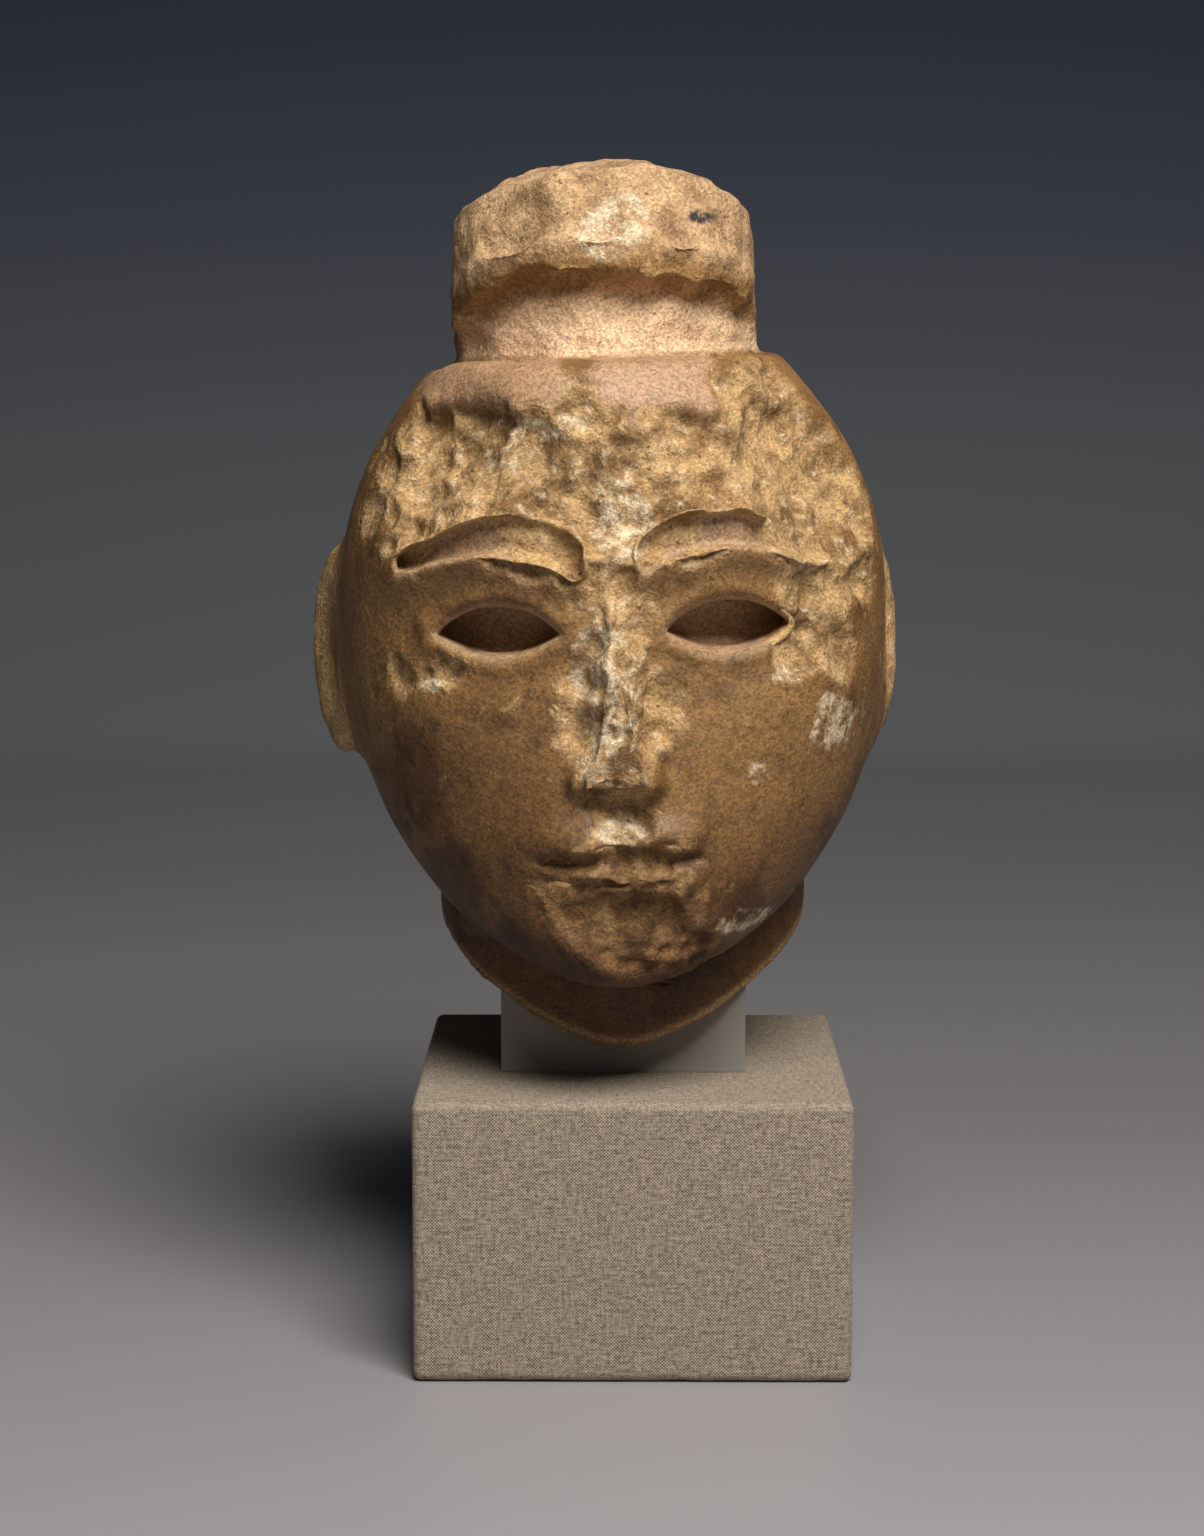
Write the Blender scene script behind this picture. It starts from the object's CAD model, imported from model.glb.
import math

import bpy
import numpy as np
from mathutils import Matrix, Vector


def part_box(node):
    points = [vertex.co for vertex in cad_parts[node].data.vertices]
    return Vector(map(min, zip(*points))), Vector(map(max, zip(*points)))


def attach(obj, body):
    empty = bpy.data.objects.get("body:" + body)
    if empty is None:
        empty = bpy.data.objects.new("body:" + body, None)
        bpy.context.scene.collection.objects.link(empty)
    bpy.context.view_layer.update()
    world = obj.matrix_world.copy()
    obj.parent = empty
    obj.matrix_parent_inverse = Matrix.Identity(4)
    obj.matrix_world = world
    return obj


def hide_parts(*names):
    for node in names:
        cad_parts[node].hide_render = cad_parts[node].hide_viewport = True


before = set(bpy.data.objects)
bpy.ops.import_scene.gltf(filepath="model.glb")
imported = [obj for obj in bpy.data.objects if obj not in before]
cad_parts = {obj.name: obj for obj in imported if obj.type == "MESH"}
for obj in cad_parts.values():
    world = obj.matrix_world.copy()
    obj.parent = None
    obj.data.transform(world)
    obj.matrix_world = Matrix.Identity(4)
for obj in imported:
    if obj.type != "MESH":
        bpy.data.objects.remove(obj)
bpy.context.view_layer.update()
print("frame loaded")


def node(tree, kind, inputs=None, **settings):
    made = tree.nodes.new("ShaderNode" + kind)
    for key, value in settings.items():
        setattr(made, key, value)
    for key, value in (inputs or {}).items():
        if isinstance(value, bpy.types.NodeSocket):
            tree.links.new(value, made.inputs[key])
        else:
            made.inputs[key].default_value = value
    return made


def number(tree, operation, a, b=0.0, clamp=False):
    return node(tree, "Math", {0: a, 1: b}, operation=operation, use_clamp=clamp).outputs[0]


def mixColour(tree, factor, a, b, mode="MIX"):
    made = node(tree, "Mix", {0: factor, 6: a, 7: b}, data_type="RGBA", blend_type=mode, clamp_factor=True)
    return made.outputs[2]


def ramp(tree, value, low, high):  # 0 below low, 1 above high
    ends = {0: value, 1: low, 2: high, 3: 0.0, 4: 1.0}
    return node(tree, "MapRange", ends, interpolation_type="SMOOTHSTEP").outputs[0]


def between(tree, value, low, high, first, last):  # first at low, last at high
    return node(tree, "MapRange", {0: value, 1: low, 2: high, 3: first, 4: last}).outputs[0]


def speckle(tree, place, size, detail=3.0, roughness=0.6):  # noise with blobs of about this size, in metres
    settings = {"Vector": place, "Scale": 0.5 / size, "Detail": detail, "Roughness": roughness}
    return node(tree, "TexNoise", settings).outputs[0]


def newMaterial(name):
    material = bpy.data.materials.new(name)
    material.use_nodes = True
    tree = material.node_tree
    tree.nodes.clear()
    shader = node(tree, "BsdfPrincipled")
    out = node(tree, "OutputMaterial")
    tree.links.new(shader.outputs[0], out.inputs[0])
    return material, tree, shader


def through(points):  # smooth curve through points of rising x
    marks = np.array(points, float)
    xs, ys = marks[:, 0], marks[:, 1]
    place = np.arange(len(xs))
    before, after = np.maximum(place - 1, 0), np.minimum(place + 1, len(xs) - 1)
    slope = (ys[after] - ys[before]) / (xs[after] - xs[before])

    def at(x):
        x = np.clip(x, xs[0], xs[-1])
        i = np.clip(np.searchsorted(xs, x, side="right") - 1, 0, len(xs) - 2)
        run = xs[i + 1] - xs[i]
        t = (x - xs[i]) / run
        start = ys[i] * (1 + 2 * t) * (1 - t) ** 2 + slope[i] * run * t * (1 - t) ** 2
        return start + ys[i + 1] * t * t * (3 - 2 * t) + slope[i + 1] * run * t * t * (t - 1)

    return at


def join(a, b, blend):
    return np.minimum(a, b) - np.maximum(blend - np.abs(a - b), 0) ** 2 / (4 * blend)


def keep(a, b, blend):
    return -join(-a, -b, blend)


def hump(t):
    return np.exp(-t * t)


def step(t):
    c = np.clip(t, 0, 1)
    return c * c * (3 - 2 * c)


def dice(cells, seed):  # one number from 0 to 1 for each cell of a lattice
    c = cells.astype(np.uint64)
    h = c[..., 0] * np.uint64(73856093) ^ c[..., 1] * np.uint64(19349663) ^ c[..., 2] * np.uint64(83492791)
    h = (h ^ np.uint64(seed * 7919 + 17)) & np.uint64(0xFFFFFFFF)
    h = ((h ^ (h >> np.uint64(15))) * np.uint64(2246822519)) & np.uint64(0xFFFFFFFF)
    h = ((h ^ (h >> np.uint64(13))) * np.uint64(3266489917)) & np.uint64(0xFFFFFFFF)
    return ((h ^ (h >> np.uint64(16))) & np.uint64(0xFFFFFF)) / 16777215.0


def waves(points, size, seed=0):  # soft noise from -1 to 1 with bumps of a size, in metres
    p = points / size + 500.0
    base = np.floor(p).astype(np.int64)
    t = p - base
    t = t * t * (3 - 2 * t)
    total = 0.0
    for corner in range(8):
        bit = np.array([corner & 1, corner >> 1 & 1, corner >> 2 & 1])
        share = np.prod(np.where(bit, t, 1 - t), axis=-1)
        total = total + share * dice(base + bit, seed)
    return 2 * total - 1


def layered(points, size, layers, seed=0):  # the same with finer noise on top
    total = sum(0.5 ** n * waves(points, size / 2 ** n, seed + n) for n in range(layers))
    return total / (2 - 0.5 ** (layers - 1))


def addField(mesh, name, values):
    made = mesh.attributes.new(name, "FLOAT", "POINT")
    made.data.foreach_set("value", np.ascontiguousarray(values, np.float32))


headForm = {
    "faceHeight": 0.169,  # chin to the crown's seat; the other lengths are shares of it
    "shift": -0.005,
    "back": 0.002,
    "chinLevel": 0.10798,
    "roll": 1.8,  # degrees, the stump towards -X
    "sectionPower": 2.2,  # 2 is an ellipse, more is squarer
    "jawSlope": 0.38,
    "jawAt": 0.38,
    "fineCell": 0.00098,  # size of the finest faces, at the front
    "fanOut": 0.75,  # how much wider the faces are at the back
    "fanMiddle": 0.45,  # level that the net fans out from
    "room": ((-0.54, 0.54), (-0.54, 0.58), (-0.24, 1.42)),  # what the net covers: x, y and z
    "firstLook": 4,  # every fourth point is worked out first
    "nearSkin": 0.07,
}
breadth = through([
    (-0.06, 0.15), (0.03, 0.215), (0.12, 0.3), (0.26, 0.39), (0.42, 0.438),
    (0.58, 0.452), (0.72, 0.443), (0.84, 0.402), (0.93, 0.345), (1.0, 0.292), (1.1, 0.25),
])
frontDepth = through([
    (-0.06, 0.33), (0.06, 0.416), (0.2, 0.42), (0.36, 0.416), (0.52, 0.42),
    (0.7, 0.438), (0.84, 0.43), (0.93, 0.405), (1.0, 0.365), (1.1, 0.33),
])
backDepth = through([
    (-0.06, 0.16), (0.1, 0.2), (0.28, 0.34), (0.45, 0.47), (0.65, 0.52), (0.82, 0.49), (0.94, 0.41),
    (1.0, 0.35), (1.1, 0.3),
])
stumpHalf = through([(0.9, 0.256), (1.1, 0.258), (1.18, 0.256), (1.25, 0.246), (1.31, 0.226), (1.36, 0.19)])
stump = {"back": 0.02, "front": 0.256, "top": 1.335, "corner": 0.05}
ledge = {"tilt": 0.36, "middle": 0.165, "half": 0.036, "out": 0.018, "recess": 0.034, "aside": 0.12}
facets = [  # hewn flats of the stump: a point on each and the way it faces
    ((-0.05, -0.1, 1.314), (-0.13, -0.1, 0.98)), ((-0.18, 0, 1.29), (-0.5, 0, 0.87)),
    ((0.1, 0, 1.318), (0.24, -0.05, 0.97)), ((0.19, 0, 1.285), (0.6, 0, 0.8)),
    ((0.14, -0.165, 1.26), (0.45, -0.82, 0.35)), ((-0.16, -0.14, 1.25), (-0.6, -0.72, 0.35)),
    ((-0.01, -0.22, 1.25), (-0.1, -0.93, 0.35)),
]
eye = {"out": 0.18, "level": 0.58, "half": 0.1, "above": 0.047, "below": 0.036, "deep": 0.095, "rim": 0.012}
brow = {
    "inner": 0.05, "outer": 0.34, "level": 0.69, "arch": 0.045, "half": 0.024, "deep": 0.04, "ridge": 0.016,
}
nose = {
    "root": 0.66, "length": 0.325, "tip": 0.345, "half": 0.05, "flare": 0.038,
    "rise": 0.03, "grow": 0.1, "scar": 0.058,
}
mouth = {
    "level": 0.222, "half": 0.14, "upper": 0.026, "lower": 0.034, "tall": 0.03, "rise": 0.03, "line": 0.022,
}
mounds = [  # soft swellings and hollows of the face: height, then place and reach aside, and upwards
    (-0.034, eye["out"], 0.125, 0.6, 0.075), (0.012, 0.27, 0.11, 0.46, 0.1),
    (0.014, 0, 0.17, mouth["level"], 0.11), (0.016, 0, 0.1, 0.06, 0.05), (-0.012, 0, 0.1, 0.135, 0.025),
]
ear = {"out": 0.462, "lost": 0.035, "splay": 0.3, "back": 0.05, "lean": 0.22, "level": 0.53, "bowl": 0.05}
earHalf = (0.06, 0.095, 0.18)  # its thickness, depth and height, halved
neck = {"half": 0.312, "depth": 0.29, "back": 0.07, "top": 0.3, "flare": 0.1}
neckBreak = {"lowest": -0.12, "rise": 0.3, "spread": 0.4, "round": 0.07, "front": -0.22}
blend = {  # how softly the forms run into one another
    "nose": 0.02, "rim": 0.006, "eyeFloor": 0.01, "browFloor": 0.008, "jaw": 0.06, "seat": 0.02, "ear": 0.03,
    "facet": 0.008, "ledge": 0.008, "ledgeEdge": 0.01, "stump": 0.01, "neck": 0.035, "neckTop": 0.05,
    "break": 0.008, "chip": 0.014,
}
uneven = {"size": 0.012, "seat": 0.012, "ledge": 0.026, "stump": 0.007, "break": 0.006, "chip": 0.014}
chips = [  # place and radius of each scoop
    (0.02, -0.7, 0.8, 0.27), (-0.15, -0.8, 0.87, 0.4), (0.56, -0.5, 0.64, 0.29),
    (-0.52, -0.6, 1.06, 0.45), (0.34, -0.72, 1.06, 0.42), (0.56, -0.45, 0.92, 0.36),
    (-0.03, -0.72, 0.16, 0.27), (0.1, -0.66, 0.08, 0.235),
]
roughPlaces = [  # broken patches of the front: middle in x and z, then the reach of each
    (0.0, 0.6, 0.045, 0.14), (0.0, 0.44, 0.075, 0.14), (0.0, 0.29, 0.05, 0.05), (0.03, 0.185, 0.085, 0.035),
    (0.0, 0.77, 0.11, 0.07), (-0.21, 0.84, 0.15, 0.055), (0.24, 0.83, 0.16, 0.065), (0.36, 0.68, 0.06, 0.07),
    (0.07, 0.08, 0.09, 0.05), (-0.3, 0.52, 0.06, 0.014),
]
sootPlaces = [(0.16, 1.222, 0.026, 0.011)]  # a small black stain on the stump
creamPlaces = [  # milky patches
    (-0.02, 0.45, 0.05, 0.13), (0.01, 0.77, 0.045, 0.06), (0.0, 0.27, 0.06, 0.03), (0.35, 0.42, 0.04, 0.05),
    (0.22, 0.35, 0.02, 0.02), (-0.3, 0.5, 0.035, 0.012), (0.28, 0.5, 0.03, 0.01), (0.01, 1.2, 0.05, 0.035),
    (0.045, 1.225, 0.035, 0.04), (0.2, 0.11, 0.06, 0.02), (-0.08, 0.9, 0.06, 0.02),
]
stainPlaces = [  # dark, worn stains
    (-0.33, 0.36, 0.09, 0.17), (-0.13, 0.06, 0.16, 0.07), (0.08, 0.03, 0.16, 0.05), (0.2, 0.14, 0.06, 0.05),
    (-0.27, 0.2, 0.07, 0.07),
]


def browLine(side):
    t = np.clip((side - brow["inner"]) / (brow["outer"] - brow["inner"]), 0, 1)
    return brow["level"] + brow["arch"] * np.sin(np.pi * t ** 0.8)


def outsideEye(side, z):
    t = np.minimum(np.abs(side - eye["out"]) / eye["half"], 1)
    ends = np.maximum(np.abs(side - eye["out"]) - eye["half"], 0)
    upper = eye["above"] * (1 - t * t) ** 0.9
    lower = eye["below"] * (1 - t * t)
    return np.maximum(np.maximum(z - eye["level"] - upper, eye["level"] - lower - z), ends)


def outsideBrow(side, z, taper=1):  # above 0 outside the brow's channel
    ends = np.maximum(brow["inner"] - side, side - brow["outer"])
    return np.maximum(np.abs(z - browLine(side)) - brow["half"] * taper, ends)


def faceRelief(x, z):
    side = np.abs(x)
    rise = np.zeros(len(x))
    for height, out, wide, level, tall in mounds:
        rise += height * hump((side - out) / wide) * hump((z - level) / tall)
    rise += brow["ridge"] * hump((z - browLine(side)) / 0.05) * step((0.42 - side) / 0.1)
    rise += eye["rim"] * hump((outsideEye(side, z) - 0.014) / 0.014)
    # the nose, down to the scar where it broke away
    along = np.clip((nose["root"] - z) / nose["length"], 0, 1)
    half = nose["half"] + nose["flare"] * along ** 1.4
    t = np.minimum(side / half, 1)
    ends = step(along / 0.2) * (1 - step((nose["tip"] - z) / 0.03))
    whole = (nose["rise"] + nose["grow"] * along) * (1 - t * t) ** 1.5 * ends
    rise += join(whole, nose["scar"], blend["nose"])
    # the lips and the line between them
    t = np.minimum(side / mouth["half"], 1)
    upper = hump((z - mouth["level"] - mouth["upper"]) / mouth["tall"])
    lower = hump((z - mouth["level"] + mouth["lower"]) / mouth["tall"])
    rise += mouth["rise"] * (1 - t * t) ** 0.8 * np.maximum(upper, lower)
    line = hump((z - mouth["level"]) / 0.008) * step((1.04 * mouth["half"] - side) / 0.03)
    return rise - mouth["line"] * line


def earField(x, y, z):
    thick, deep, tall = earHalf
    up = z - ear["level"]
    along = y - ear["back"] - ear["lean"] * up
    out = ear["out"] - np.where(x > 0, ear["lost"], 0) + ear["splay"] * along  # the +X ear is lost
    across = np.abs(x) - out
    shell = np.sqrt((across / thick) ** 2 + (along / deep) ** 2 + (up / tall) ** 2)
    bowl = hump((along + 0.016) / 0.045) * hump(up / 0.095)
    return (shell - 1) * thick + ear["bowl"] * bowl * step(across / 0.03)


def aboveLedge(y, z):  # height over the ledge's slanting middle
    return z - 1 - ledge["middle"] + ledge["tilt"] * (y - stump["back"] + stump["front"])


def stumpField(x, y, z, rough):
    dy = y - stump["back"]
    share = ledge["aside"] + (1 - ledge["aside"]) * step(-dy / 0.2)  # the ledge fades towards the back
    above = aboveLedge(y, z) + uneven["ledge"] * rough
    recess = ledge["recess"] * share * step((-ledge["half"] - above) / 0.016 + 0.5)
    wall = np.hypot(x, dy) - stumpHalf(z)
    body = keep(wall + recess, z - stump["top"], stump["corner"])
    for (px, py, pz), (fx, fy, fz) in facets:
        body = keep(body, (x - px) * fx + (y - py) * fy + (z - pz) * fz, blend["facet"])
    out = wall - ledge["out"] * share * (1 + 0.6 * rough)
    ring = keep(out, np.abs(above) - ledge["half"], blend["ledgeEdge"])
    return join(body + uneven["stump"] * rough, ring, blend["ledge"])


def neckField(x, y, z):
    grow = 1 + neck["flare"] * np.maximum(-z, 0)
    ratio = np.hypot(x / neck["half"], (y - neck["back"]) / neck["depth"]) / grow
    return keep((ratio - 1) * neck["depth"], z - neck["top"], blend["neckTop"])


def brokenNeck(x, y):
    aside = np.hypot(x, neckBreak["round"]) - neckBreak["round"]
    return neckBreak["lowest"] + neckBreak["rise"] * (y - neckBreak["front"]) + neckBreak["spread"] * aside


def headField(p):  # distance outside the stone, in shares of the face's height
    x, y, z = p[:, 0], p[:, 1], p[:, 2]
    rough = layered(p * headForm["faceHeight"], uneven["size"], 2, seed=3)
    side = np.abs(x)
    front = step((-0.1 - y) / 0.1)
    wide = breadth(z)
    depth = np.where(y < 0, frontDepth(z), backDepth(z))
    power = headForm["sectionPower"]
    ratio = ((side / wide) ** power + (np.abs(y) / depth) ** power) ** (1 / power)
    reach = np.hypot(x, y)
    skin = np.where(ratio < 0.2, reach - wide, reach * (1 - 1 / np.maximum(ratio, 1e-6)))
    skin = skin - front * faceRelief(x, z)
    # the hollows for the inlaid eyes and brows
    socket = join(-outsideEye(side, z), skin + eye["deep"], blend["eyeFloor"])
    hollow = keep(skin, socket, blend["rim"])
    taper = 1 - 0.5 * step((side - 0.2) / (brow["outer"] - 0.2))
    channel = join(-outsideBrow(side, z, taper), hollow + brow["deep"], blend["browFloor"])
    hollow = keep(hollow, channel, blend["rim"])
    skin = np.where(y < 0, hollow, skin)
    skin = keep(skin, headForm["jawSlope"] * (y + headForm["jawAt"]) - z, blend["jaw"])
    skin = keep(skin, z - 1.0 + uneven["seat"] * rough, blend["seat"])  # the crown's seat
    skin = join(skin, earField(x, y, z), blend["ear"])
    skin = join(skin, stumpField(x, y, z, rough), blend["stump"])
    skin = join(skin, neckField(x, y, z), blend["neck"])
    skin = keep(skin, brokenNeck(x, y) + uneven["break"] * rough - z, blend["break"])
    for cx, cy, cz, radius in chips:
        gap = radius - np.sqrt((x - cx) ** 2 + (y - cy) ** 2 + (z - cz) ** 2)
        skin = keep(skin, gap + uneven["chip"] * rough, blend["chip"])
    return skin


def skinNet(points, value):
    # one vertex in each cell that the skin crosses, and one face over each grid line that it crosses
    strides = (value.shape[1] * value.shape[2], value.shape[2], 1)
    flat, place = value.ravel(), points.reshape(-1, 3)
    cells, crossings = [], []
    for axis, ahead in enumerate(strides):
        start = np.flatnonzero((flat[:-ahead] < 0) != (flat[ahead:] < 0))
        a, b = flat[start], flat[start + ahead]
        t = (a / (a - b))[:, None]
        crossings.append(place[start] * (1 - t) + place[start + ahead] * t)
        one, two = strides[(axis + 1) % 3], strides[(axis + 2) % 3]
        around = np.stack([start - one - two, start - two, start, start - one], axis=1)
        cells.append(np.where((a < 0)[:, None], around, around[:, ::-1]))
    cells = np.concatenate(cells)
    crossings = np.repeat(np.concatenate(crossings), 4, axis=0)
    corner = np.unique(cells, return_inverse=True)[1].ravel()
    count = np.bincount(corner)
    vertices = np.stack([np.bincount(corner, weights=c) / count for c in crossings.T], axis=1)
    return vertices, corner.reshape(-1, 4)


def evened(vertices, faces, rounds, reach):  # each vertex goes a limited way to its neighbours' middle
    here, after = faces.ravel(), np.roll(faces, -1, axis=1).ravel()
    count = np.bincount(here)[:, None]
    for _ in range(rounds):
        middle = np.stack([np.bincount(here, weights=vertices[after, n]) for n in range(3)], axis=1) / count
        move = (middle - vertices) * 0.5
        length = np.linalg.norm(move, axis=1, keepdims=True)
        vertices = vertices + move * np.minimum(1, reach / np.maximum(length, 1e-12))
    return vertices


def slopeOf(p):
    probe = 0.002
    steps = [headField(p + way * probe) - headField(p - way * probe) for way in np.eye(3)]
    return np.stack(steps, axis=1) / (2 * probe)


def carveSkin():
    # the grid fans out from the front to the back, so that the face gets the finest net
    cell = headForm["fineCell"] / headForm["faceHeight"]
    fanOut, middle, stride = headForm["fanOut"], headForm["fanMiddle"], headForm["firstLook"]
    (left, right), (front, back), (foot, top) = headForm["room"]
    ys = [front]
    while ys[-1] < back:
        ys.append(ys[-1] + cell * (1 + fanOut * (ys[-1] - front)))
    gx, gy, gz = np.meshgrid(np.arange(left, right, cell), ys, np.arange(foot, top, cell), indexing="ij")
    grow = 1 + fanOut * (gy - front)
    points = np.stack([gx * grow, gy, middle + (gz - middle) * grow], axis=-1)
    # a first look at a few points: only what lies near the skin is worked out in full
    few = points[::stride, ::stride, ::stride]
    value = headField(few.reshape(-1, 3)).reshape(few.shape[:3])
    for axis, length in enumerate(points.shape[:3]):
        value = np.roll(np.repeat(value, stride, axis=axis), -(stride // 2), axis=axis)
        value = value.take(range(length), axis=axis)
    near = np.abs(value) < headForm["nearSkin"]
    value[near] = headField(points[near])
    vertices, faces = skinNet(points, value)
    return evened(vertices, faces, 4, 0.4 * cell), faces


def softened(values, faces, rounds):  # each value becomes the mean of its own and its neighbours'
    here, after = faces.ravel(), np.roll(faces, -1, axis=1).ravel()
    count = np.bincount(here)[:, None]
    values = values.reshape(len(count), -1)
    for _ in range(rounds):
        around = np.stack([np.bincount(here, weights=v[after]) for v in values.T], axis=1) / count
        values = 0.4 * values + 0.6 * around
    return values


def scoops(points, size, seed):
    # a scatter of middles: how far the nearest and the second lie, and where
    p = points / size + 500.0
    base = np.floor(p)
    first, second = np.full(len(p), 9.0), np.full(len(p), 9.0)
    at, nextAt = np.zeros_like(p), np.zeros_like(p)
    for corner in range(27):
        cell = base + np.array([corner % 3, corner // 3 % 3, corner // 9]) - 1
        middle = cell + np.stack([dice(cell, seed + n) for n in range(3)], axis=1)
        away = np.linalg.norm(p - middle, axis=1)
        nearest = away < first
        other = ~nearest & (away < second)
        second = np.where(nearest, first, np.where(other, away, second))
        nextAt = np.where(nearest[:, None], at, np.where(other[:, None], middle, nextAt))
        at = np.where(nearest[:, None], middle, at)
        first = np.where(nearest, away, first)
    return first, second, (at - 500.0) * size, (nextAt - 500.0) * size


def reachOf(p, places):  # above 0 inside the patches, which are given on the front as x and z
    best = np.full(len(p), -1.0)
    for cx, cz, rx, rz in places:
        best = np.maximum(best, 1 - np.hypot((p[:, 0] - cx) / rx, (p[:, 2] - cz) / rz))
    return best


def nearChips(p):  # above 0 close to the large scoops
    best = np.full(len(p), -1.0)
    for cx, cy, cz, radius in chips:
        best = np.maximum(best, 1 - (np.linalg.norm(p - (cx, cy, cz), axis=1) - radius) / 0.03)
    return best


def brokenBy(metres, size, seed):
    # whole scoops break away: their share, how hollow they are and how deep each goes, blended at the edges
    h = headForm["faceHeight"]
    first, second, at, nextAt = scoops(metres, size, seed)
    edge = 0.5 + 0.5 * step((second - first) * size / 0.0016)
    share, depth = 0.0, 0.0
    for middle, part in ((at, edge), (nextAt, 1 - edge)):
        key = np.round(middle * 1e5).astype(np.int64) + 100000
        inside = np.maximum(reachOf(middle / h, roughPlaces), nearChips(middle / h))
        share = share + part * step((inside + 0.5 * dice(key, seed) - 0.25) / 0.02)
        depth = depth + part * dice(key, seed + 9)
    return share, first, depth


band = {"foot": 0.93, "left": -0.3, "right": 0.16, "notch": -0.045, "notchHalf": 0.035}
breaks = [  # scoops by size, in metres: width, least depth, depth by chance, hollowness, and their draw
    (0.0105, 0.0018, 0.0016, 0.0034, 81), (0.0052, 0.0009, 0.0011, 0.0023, 91),
]
wear = {  # finer wear, in metres
    "crumb": 0.0042,
    "crumbDeep": 0.001,
    "hewnScoop": 0.0135,
    "hewnDeep": 0.0011,
    "hewnHollow": 0.0022,
    "hewnRough": 0.0012,
    "lipDeep": 0.0014,
    "earDeep": 0.0009,
    "underDeep": 0.0016,
    "swell": 0.0002,
    "pit": 0.0003,
}


def bandLeft(x, z, ragged):
    # two polished flats are left of the band under the stump, with a notch between them
    left = step((z - band["foot"] + 0.06 * ragged) / 0.01) * step((x - band["left"] + 0.12 * ragged) / 0.02)
    left = left * step((band["right"] - x + 0.12 * ragged) / 0.02)
    notch = band["notchHalf"] + 0.05 * ragged - np.abs(x - band["notch"])
    return left * (1 - step(notch / 0.02))


def rolled(p):  # from shares of the face's height to metres in the frame
    h = headForm["faceHeight"]
    roll = math.radians(headForm["roll"])
    turn = np.array([[math.cos(roll), 0, math.sin(roll)], [0, 1, 0], [-math.sin(roll), 0, math.cos(roll)]])
    pivot = np.array([headForm["shift"], headForm["back"], headForm["chinLevel"] + 0.5 * h])
    return (p - (0, 0, 0.5)) * h @ turn + pivot


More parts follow.
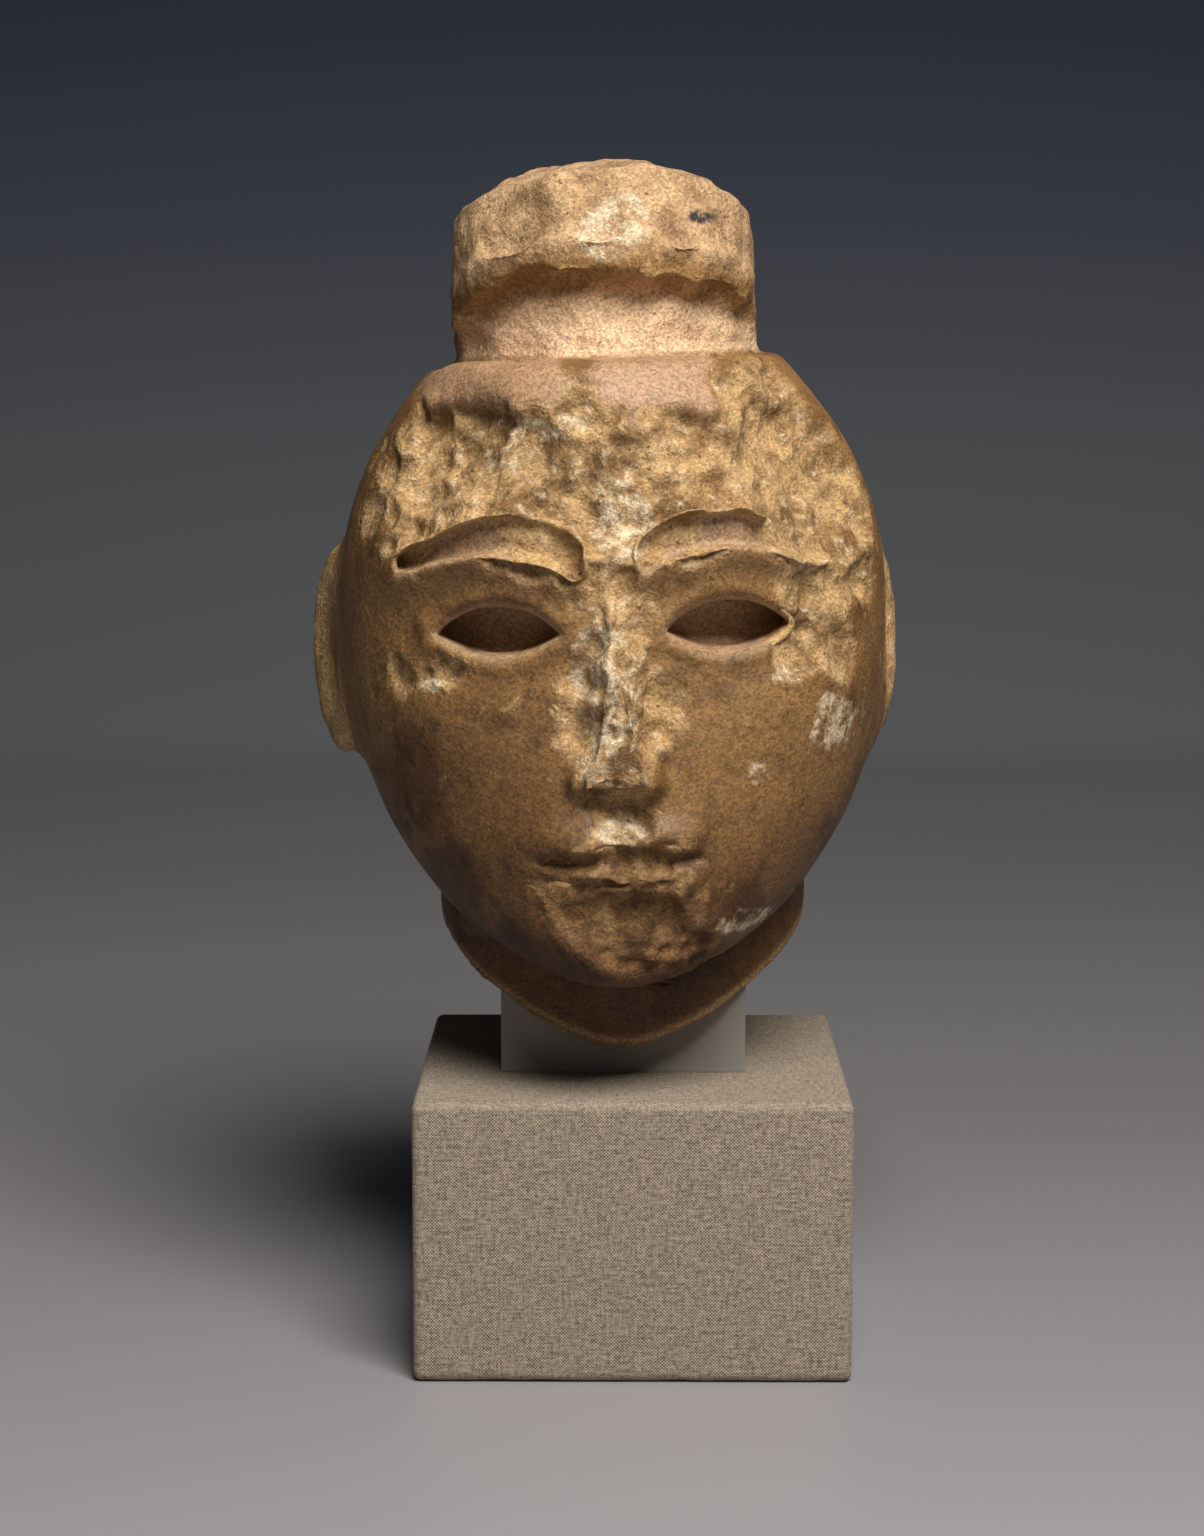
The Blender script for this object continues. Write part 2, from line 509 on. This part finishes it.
def carveHead():
    p, faces = carveSkin()
    print("head:", 2 * len(faces), "triangles")
    normal = softened(slopeOf(p), faces, 4)
    normal = normal / np.maximum(np.linalg.norm(normal, axis=1, keepdims=True), 1e-6)
    x, y, z = p.T
    side = np.abs(x)
    metres = p * headForm["faceHeight"]
    # where the stone is hewn, polished, broken or hollow: each from 0 to 1
    ragged = 0.5 * layered(metres, 0.009, 4, seed=11) + 0.4 * waves(metres, 0.024, 12)
    front = step((-0.12 - y + 0.09 * ragged) / 0.03)
    hewn = step((z - 1.002) / 0.012)  # the seat and the stump were left rough
    under = step((brokenNeck(x, y) + 0.014 - z) / 0.01)
    polished = bandLeft(x, z, ragged)
    overLip = aboveLedge(y, z) + ledge["half"]
    lip = hewn * hump((overLip - 0.016) / 0.026) * step((0.1 - y) / 0.1)  # the ledge's crumbled lower edge
    ears = step((0.004 + 0.006 * ragged - np.abs(earField(x, y, z))) / 0.004) * step((side - 0.4) / 0.02)
    outside = np.maximum(np.minimum(outsideEye(side, z), outsideBrow(side, z)), 0)
    hollow = step((0.01 - outside) / 0.012) * front
    # how far each place lies under the smooth skin
    broken, sink = np.zeros(len(p)), np.zeros(len(p))
    for size, least, chance, hollowness, draw in breaks:
        share, bowl, luck = brokenBy(metres, size, draw)
        share = share * front * (1 - hewn) * (1 - polished)
        sink = sink + share * (least + chance * luck - hollowness * (bowl - 0.5))
        broken = np.maximum(broken, share)
    crumbs = layered(metres, wear["crumb"], 3, seed=21)
    sink = sink + broken * wear["crumbDeep"] * crumbs
    firstHewn = scoops(metres * np.array([1, 1, 1.25]), wear["hewnScoop"], 61)[0]
    chisel = wear["hewnDeep"] - wear["hewnHollow"] * (firstHewn - 0.6)
    sink = sink + hewn * (chisel + wear["hewnRough"] * layered(metres, 0.0045, 4, seed=51))
    sink = sink + lip * wear["lipDeep"] * np.maximum(crumbs + 0.3, 0)
    sink = sink + ears * wear["earDeep"] * (1 + crumbs)
    broken = np.clip(np.maximum.reduce([broken, under, ears]), 0, 1)
    pits = step((waves(metres, 0.0018, 41) - 0.45) / 0.3)
    pits = pits + 1.5 * step((waves(metres, 0.0045, 42) - 0.62) / 0.2)
    smooth = (1 - broken) * (1 - hewn)
    sink = sink + smooth * (wear["swell"] * layered(metres, 0.02, 3, seed=62) + wear["pit"] * pits)
    sink = np.where(under > 0.5, np.clip(sink, 0, wear["underDeep"]), np.maximum(sink, 0))
    sink = softened(sink * (1 - 0.7 * hollow), faces, 1)
    p = evened((metres - normal * sink) / headForm["faceHeight"], faces, 1, 0.004)  # no lone spikes
    mesh = bpy.data.meshes.new("head_stone")
    mesh.from_pydata(rolled(p).tolist(), [], faces.tolist())
    mesh.shade_smooth()
    milky = reachOf(p, creamPlaces) + 0.9 * ragged + 0.25 * waves(metres, 0.002, 71)
    fields = {
        "broken": broken,
        "hewn": hewn,
        "band": front * polished * (1 - hewn) * (1 - broken),
        "cream": step(milky / 0.25) * front,
        "recess": hewn * step(-overLip / 0.02),
        "lip": lip,
        "soot": step((reachOf(p, sootPlaces) + 0.5 * ragged) / 0.3) * front,
        "stain": step((reachOf(p, stainPlaces) + 0.8 * ragged) / 0.6) * front,
        "rim": hump((z - brokenNeck(x, y) - 0.012) / 0.008) * (1 - under),
        "hollow": hollow,
        "worn": np.clip(sink[:, 0] / 0.003, 0, 1),
        "low": step((0.5 - z) / 0.5),
    }
    for name, values in fields.items():
        addField(mesh, name, values)
    piece = bpy.data.objects.new("head_stone", mesh)
    bpy.context.scene.collection.objects.link(piece)
    return piece, list(fields)


stoneLook = {  # colours, then the sizes of its patterns in metres
    "skin": (0.2, 0.1, 0.034, 1),
    "skinGold": (0.29, 0.155, 0.055, 1),
    "skinDark": (0.085, 0.038, 0.014, 1),
    "skinLow": (0.42, 0.34, 0.27, 1),  # how much darker the skin grows towards the chin
    "brokenGold": (0.5, 0.31, 0.135, 1),
    "brokenDeep": (0.2, 0.105, 0.037, 1),
    "cream": (0.72, 0.58, 0.39, 1),
    "seat": (0.53, 0.335, 0.175, 1),
    "seatDeep": (0.31, 0.18, 0.085, 1),
    "recess": (0.84, 0.58, 0.36, 1),
    "lip": (0.27, 0.14, 0.042, 1),
    "hollow": (0.42, 0.27, 0.155, 1),
    "band": (0.4, 0.235, 0.13, 1),
    "stain": (0.42, 0.33, 0.27, 1),
    "speck": (0.07, 0.035, 0.018, 1),
    "soot": (0.025, 0.023, 0.022, 1),
    "cloudSize": 0.026,
    "blotSize": 0.006,
    "fleckSize": 0.0034,
    "flakeSize": 0.0022,
    "coarseSize": 0.0013,
    "grainSize": 0.00045,
    "grainsPerMetre": 1500.0,
    "bumpDepth": 0.00045,
    "rawBump": 4.5,  # how much rougher broken and hewn stone is
}


def makeStone(fieldNames):
    material, tree, shader = newMaterial("quartzite")
    place = node(tree, "TexCoord").outputs["Object"]
    field = {name: node(tree, "Attribute", attribute_name=name).outputs["Fac"] for name in fieldNames}
    clouds = speckle(tree, place, stoneLook["cloudSize"], 4.0)
    blots = speckle(tree, place, stoneLook["blotSize"], 5.0, 0.65)
    grains = speckle(tree, place, stoneLook["grainSize"], 2.0, 0.7)
    coarse = speckle(tree, place, stoneLook["coarseSize"], 3.0, 0.7)
    flakes = speckle(tree, place, stoneLook["flakeSize"], 5.0, 0.7)
    # the polished skin
    skin = mixColour(tree, ramp(tree, clouds, 0.38, 0.6), stoneLook["skin"], stoneLook["skinGold"])
    dark = number(tree, "MULTIPLY", ramp(tree, blots, 0.48, 0.7), 0.7)
    skin = mixColour(tree, dark, skin, stoneLook["skinDark"])
    flecks = ramp(tree, speckle(tree, place, stoneLook["fleckSize"], 5.0, 0.72), 0.6, 0.68)
    skin = mixColour(tree, number(tree, "MULTIPLY", flecks, 0.5), skin, stoneLook["brokenGold"])
    skin = mixColour(tree, field["low"], skin, stoneLook["skinLow"], "MULTIPLY")
    skin = mixColour(tree, number(tree, "MULTIPLY", field["hollow"], 0.8), skin, stoneLook["hollow"])
    skin = mixColour(tree, field["band"], skin, stoneLook["band"])
    # broken stone, and the hewn stump with its recess and crumbled edge
    raw = mixColour(tree, ramp(tree, blots, 0.36, 0.6), stoneLook["brokenDeep"], stoneLook["brokenGold"])
    raw = mixColour(tree, ramp(tree, field["worn"], 0.1, 0.6), stoneLook["brokenGold"], raw)
    raw = mixColour(tree, field["low"], raw, stoneLook["skinLow"], "MULTIPLY")
    seat = mixColour(tree, ramp(tree, blots, 0.42, 0.66), stoneLook["seat"], stoneLook["seatDeep"])
    seat = mixColour(tree, number(tree, "MULTIPLY", field["recess"], 0.8), seat, stoneLook["recess"])
    grit = number(tree, "MULTIPLY", field["lip"], ramp(tree, flakes, 0.28, 0.5))
    seat = mixColour(tree, grit, seat, stoneLook["lip"])
    # put together, with the broken edge, the milky patches and the stains
    colour = mixColour(tree, field["hewn"], skin, seat)
    colour = mixColour(tree, field["broken"], colour, raw)
    colour = mixColour(tree, number(tree, "MULTIPLY", field["rim"], 0.6), colour, stoneLook["brokenGold"])
    milk = number(tree, "MULTIPLY", field["cream"], ramp(tree, flakes, 0.4, 0.6))
    colour = mixColour(tree, number(tree, "MULTIPLY", milk, 0.85), colour, stoneLook["cream"])
    crumbs = number(tree, "MULTIPLY", field["broken"], ramp(tree, flakes, 0.52, 0.7))
    crumbs = number(tree, "MULTIPLY", crumbs, number(tree, "SUBTRACT", 0.65, field["low"]), clamp=True)
    colour = mixColour(tree, crumbs, colour, stoneLook["cream"])
    stain = number(tree, "MULTIPLY", field["stain"], 0.85)
    colour = mixColour(tree, stain, colour, stoneLook["stain"], "MULTIPLY")
    # single grains, lighter and darker than the stone around them
    sparkle = node(tree, "TexVoronoi", {"Vector": place, "Scale": stoneLook["grainsPerMetre"]}, feature="F1")
    tone = node(tree, "SeparateColor", {0: sparkle.outputs["Color"]}).outputs[0]
    light = between(tree, tone, 0.0, 1.0, 0.66, 1.34)
    grey = node(tree, "CombineColor", {0: light, 1: light, 2: light}).outputs[0]
    colour = mixColour(tree, 1.0, colour, grey, "MULTIPLY")
    specks = number(tree, "MULTIPLY", ramp(tree, coarse, 0.64, 0.7), 0.75)
    colour = mixColour(tree, specks, colour, stoneLook["speck"])
    soot = number(tree, "MULTIPLY", field["soot"], ramp(tree, flakes, 0.38, 0.5))
    colour = mixColour(tree, soot, colour, stoneLook["soot"])
    tree.links.new(colour, shader.inputs["Base Color"])
    rough = between(tree, blots, 0.3, 0.7, 0.46, 0.62)
    rough = number(tree, "MAXIMUM", rough, number(tree, "MULTIPLY", field["broken"], 0.84))
    rough = number(tree, "MAXIMUM", rough, number(tree, "MULTIPLY", field["hewn"], 0.8))
    tree.links.new(rough, shader.inputs["Roughness"])
    shader.inputs["Specular IOR Level"].default_value = 0.42
    raised = number(tree, "MAXIMUM", field["broken"], field["hewn"])
    raised = number(tree, "MULTIPLY", flakes, number(tree, "MULTIPLY", raised, stoneLook["rawBump"]))
    grains = number(tree, "MULTIPLY", grains, 0.5)
    height = number(tree, "ADD", grains, number(tree, "MULTIPLY", coarse, 0.8))
    height = number(tree, "ADD", height, raised)
    bump = node(tree, "Bump", {"Strength": 0.75, "Distance": stoneLook["bumpDepth"], "Height": height})
    tree.links.new(bump.outputs[0], shader.inputs["Normal"])
    return material


head, fieldNames = carveHead()
head.data.materials.append(makeStone(fieldNames))
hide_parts("carved_head")
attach(head, "root")
print("head carved")


blockForm = {
    "edge": 0.0025,
    "lines": 84,  # grid lines along each side
    "pucker": 0.00012,
    "footPucker": 0.00018,
    "footTall": 0.004,
    "threadPitch": 0.00045,
}
linenLook = {
    "light": (0.56, 0.455, 0.345, 1),
    "dark": (0.085, 0.064, 0.045, 1),
    "slub": (0.1, 0.075, 0.052, 1),
    "threadLong": 0.006,  # how far one thread keeps its shade
    "threadWide": 0.0006,
    "slubLong": 0.009,
    "wanderSize": 0.004,
    "wander": 3.0,
    "bumpDepth": 0.00018,
}


def coverBlock():
    low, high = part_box("linen_block")
    middle = np.array((low + high) / 2)
    half = np.array((high - low) / 2)
    edge = blockForm["edge"]
    count = blockForm["lines"]
    # six dense grids, drawn in at the edges to a small radius
    t = np.linspace(-1, 1, count)
    t = np.sign(t) * (1 - (1 - np.abs(t)) ** 1.35)  # finer towards the edges
    vertices, faces, cloth = [], [], []
    for axis in range(3):
        for sign in (-1, 1):
            a, b = [i for i in range(3) if i != axis]
            grid = np.zeros((count, count, 3))
            grid[..., axis] = sign
            grid[..., a] = t[:, None]
            grid[..., b] = t[None, :]
            at = len(vertices) * count * count
            vertices.append(grid.reshape(-1, 3) * half)
            cloth.append(vertices[-1][:, [a, b]])
            i, j = np.meshgrid(np.arange(count - 1), np.arange(count - 1), indexing="ij")
            first = at + (i * count + j).ravel()
            quad = np.stack([first, first + count, first + count + 1, first + 1], axis=1)
            turned = (sign > 0) == (axis == 1)
            faces.append(quad[:, ::-1] if turned else quad)
    points = np.concatenate(vertices)
    cloth = np.concatenate(cloth)
    faces = np.concatenate(faces)
    inner = np.clip(points, -half + edge, half - edge)
    out = points - inner
    length = np.linalg.norm(out, axis=1, keepdims=True)
    direction = out / np.maximum(length, 1e-9)
    points = inner + direction * edge
    # the cloth pulls a little and puckers at the foot
    puff = blockForm["pucker"] * (layered(points, 0.018, 3, seed=5) - 1)
    foot = step((-points[:, 2] - half[2] + blockForm["footTall"]) / blockForm["footTall"])
    puff = puff - blockForm["footPucker"] * foot * (1 + waves(points, 0.004, 8))
    points = points + direction * puff[:, None] + middle
    mesh = bpy.data.meshes.new("linen_cover")
    mesh.from_pydata(points.tolist(), [], faces.tolist())
    layer = mesh.uv_layers.new(name="threads")
    corner = np.empty(len(mesh.loops), np.int32)
    mesh.loops.foreach_get("vertex_index", corner)
    layer.data.foreach_set("uv", cloth[corner].astype(np.float32).ravel())
    mesh.shade_smooth()
    piece = bpy.data.objects.new("linen_cover", mesh)
    bpy.context.scene.collection.objects.link(piece)
    weld = piece.modifiers.new("seams", "WELD")
    weld.merge_threshold = 0.00001
    return piece


def makeLinen():
    material, tree, shader = newMaterial("linen")
    uv = node(tree, "UVMap", uv_map="threads").outputs[0]
    split = node(tree, "SeparateXYZ", {0: uv})
    # the threads aren't quite straight
    wander = speckle(tree, uv, linenLook["wanderSize"], 2.0)
    wander = number(tree, "MULTIPLY", wander, linenLook["wander"])

    def threads(place):
        along = number(tree, "MULTIPLY", place, math.pi / blockForm["threadPitch"])
        return number(tree, "SINE", number(tree, "ADD", along, wander))

    def streaks(wide, tall, seed):
        settings = {"Vector": uv, "Location": (seed, seed, 0), "Scale": (1 / wide, 1 / tall, 1)}
        stretched = node(tree, "Mapping", settings).outputs[0]
        return node(tree, "TexNoise", {"Vector": stretched, "Scale": 1.0, "Detail": 2.0}).outputs[0]

    # plain weave: where one thread is up, the one across it is down
    weave = number(tree, "MULTIPLY", threads(split.outputs[0]), threads(split.outputs[1]))
    weave = number(tree, "ADD", number(tree, "MULTIPLY", weave, 0.5), 0.5)
    long, wide = linenLook["threadLong"], linenLook["threadWide"]
    weft = streaks(long, wide, 3.0)
    warp = streaks(wide, long, 7.0)
    grain = speckle(tree, uv, wide, 2.0, 0.8)
    slubs = ramp(tree, streaks(linenLook["slubLong"], wide, 11.0), 0.64, 0.74)
    tone = number(tree, "ADD", number(tree, "MULTIPLY", weft, 0.5), number(tree, "MULTIPLY", warp, 0.4))
    tone = number(tree, "ADD", tone, number(tree, "MULTIPLY", grain, 0.9))
    tone = number(tree, "ADD", tone, number(tree, "MULTIPLY", weave, 0.5))
    colour = mixColour(tree, ramp(tree, tone, 0.72, 1.6), linenLook["dark"], linenLook["light"])
    colour = mixColour(tree, number(tree, "MULTIPLY", slubs, 0.5), colour, linenLook["slub"])
    tree.links.new(colour, shader.inputs["Base Color"])
    shader.inputs["Roughness"].default_value = 0.92
    shader.inputs["Sheen Weight"].default_value = 0.12
    shader.inputs["Sheen Roughness"].default_value = 0.5
    shader.inputs["Specular IOR Level"].default_value = 0.2
    height = number(tree, "ADD", weave, number(tree, "MULTIPLY", weft, 1.2))
    bump = node(tree, "Bump", {"Strength": 0.6, "Distance": linenLook["bumpDepth"], "Height": height})
    tree.links.new(bump.outputs[0], shader.inputs["Normal"])
    return material


block = coverBlock()
block.data.materials.append(makeLinen())
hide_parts("linen_block")
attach(block, "root")
print("block covered")


uprightLook = {
    "paint": (0.27, 0.255, 0.228, 1),
    "paintDull": (0.23, 0.215, 0.19, 1),
    "cloudSize": 0.02,
    "stippleSize": 0.0008,
    "stippleDepth": 0.0001,
    "softEdge": 0.0005,
}


def makePaint():
    material, tree, shader = newMaterial("grey_paint")
    place = node(tree, "TexCoord").outputs["Object"]
    clouds = speckle(tree, place, uprightLook["cloudSize"], 3.0)
    colour = mixColour(tree, ramp(tree, clouds, 0.35, 0.65), uprightLook["paint"], uprightLook["paintDull"])
    tree.links.new(colour, shader.inputs["Base Color"])
    tree.links.new(between(tree, clouds, 0.3, 0.7, 0.5, 0.6), shader.inputs["Roughness"])
    stipple = speckle(tree, place, uprightLook["stippleSize"], 2.0)
    bump = node(tree, "Bump", {"Strength": 0.25, "Distance": uprightLook["stippleDepth"], "Height": stipple})
    tree.links.new(bump.outputs[0], shader.inputs["Normal"])
    return material


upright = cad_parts["mount_upright"]
paint = makePaint()
if upright.material_slots:
    for slot in upright.material_slots:
        slot.material = paint
else:
    upright.data.materials.append(paint)
bevel = upright.modifiers.new("soft edge", "BEVEL")
bevel.width = uprightLook["softEdge"]
bevel.segments = 2
bevel.limit_method = "ANGLE"
bevel.angle_limit = math.radians(60)
print("upright painted")


studio = {
    "paper": [  # place along the sweep in metres, and the paper's shade there
        (-0.5, (0.39, 0.375, 0.4, 1)), (0.25, (0.258, 0.248, 0.264, 1)), (0.8, (0.31, 0.303, 0.315, 1)),
        (1.35, (0.41, 0.43, 0.455, 1)), (1.95, (0.285, 0.305, 0.335, 1)), (2.44, (0.135, 0.162, 0.225, 1)),
        (2.75, (0.065, 0.08, 0.115, 1)),
    ],
    "floorFront": -2.5,
    "floorHalf": 3.0,
    "sweepStart": 1.2,
    "sweepRadius": 0.9,
    "wallTop": 3.4,
    "lamps": [  # place, what it points at, size, power and tint
        ("key", (0.22, -0.66, 1.05), (0.0, -0.02, 0.2), (0.56, 0.56), 19.0, (1.0, 0.965, 0.91)),
        ("fill", (0.3, -1.6, 0.5), (0.0, 0.0, 0.15), (0.8, 0.5), 0.6, (0.96, 0.98, 1.0)),
    ],
    "air": (0.5, 0.53, 0.58, 1),
    "airLight": 0.03,
    "cameraAt": (-0.0022, -0.911, 0.281),
    "tilt": 7.47,  # degrees down
    "pan": 0.41,  # degrees to the left
    "lens": 75.6,
}


def makeFloor():
    # a plain sweep: level floor that curves up into the back wall, in paper shaded from pale to dark
    start, radius, half = studio["sweepStart"], studio["sweepRadius"], studio["floorHalf"]
    profile = [(studio["floorFront"], 0.0), (start, 0.0)]
    for n in range(1, 13):
        turn = n / 12 * math.pi / 2
        profile.append((start + radius * math.sin(turn), radius - radius * math.cos(turn)))
    profile.append((start + radius, studio["wallTop"]))
    vertices = [(x, y, z) for y, z in profile for x in (-half, half)]
    faces = [(2 * n, 2 * n + 1, 2 * n + 3, 2 * n + 2) for n in range(len(profile) - 1)]
    mesh = bpy.data.meshes.new("floor_sweep")
    mesh.from_pydata(vertices, [], faces)
    mesh.shade_smooth()
    floor = bpy.data.objects.new("floor_sweep", mesh)
    bpy.context.scene.collection.objects.link(floor)
    material, tree, shader = newMaterial("floor_paper")
    place = node(tree, "SeparateXYZ", {0: node(tree, "TexCoord").outputs["Object"]})
    along = number(tree, "ADD", place.outputs[1], place.outputs[2])
    first, last = studio["paper"][0][0], studio["paper"][-1][0]
    shades = node(tree, "ValToRGB", {0: between(tree, along, first, last, 0.0, 1.0)})
    stops = shades.color_ramp.elements
    for n, (at, shade) in enumerate(studio["paper"]):
        stop = stops[n] if n < 2 else stops.new(1.0)
        stop.position, stop.color = (at - first) / (last - first), shade
    tree.links.new(shades.outputs[0], shader.inputs["Base Color"])
    shader.inputs["Roughness"].default_value = 0.45
    shader.inputs["Specular IOR Level"].default_value = 0.3
    mesh.materials.append(material)


def addLamp(name, at, towards, size, power, tint):
    lamp = bpy.data.lights.new(name, "AREA")
    lamp.shape = "RECTANGLE"
    lamp.size, lamp.size_y = size
    lamp.energy = power
    lamp.color = tint
    thing = bpy.data.objects.new(name, lamp)
    thing.location = at
    thing.rotation_euler = (Vector(towards) - Vector(at)).to_track_quat("-Z", "Y").to_euler()
    bpy.context.scene.collection.objects.link(thing)


makeFloor()
for lampValues in studio["lamps"]:
    addLamp(*lampValues)
world = bpy.data.worlds.new("studio air")
world.use_nodes = True
world.node_tree.nodes["Background"].inputs[0].default_value = studio["air"]
world.node_tree.nodes["Background"].inputs[1].default_value = studio["airLight"]
bpy.context.scene.world = world

lens = bpy.data.cameras.new("camera")
lens.sensor_fit = "AUTO"
lens.sensor_width = 36.0
lens.lens = studio["lens"]
camera = bpy.data.objects.new("camera", lens)
camera.location = studio["cameraAt"]
camera.rotation_euler = (math.radians(90 - studio["tilt"]), 0.0, math.radians(studio["pan"]))
bpy.context.scene.collection.objects.link(camera)
bpy.context.scene.camera = camera
bpy.context.scene.view_settings.view_transform = "Standard"
print("studio lit")
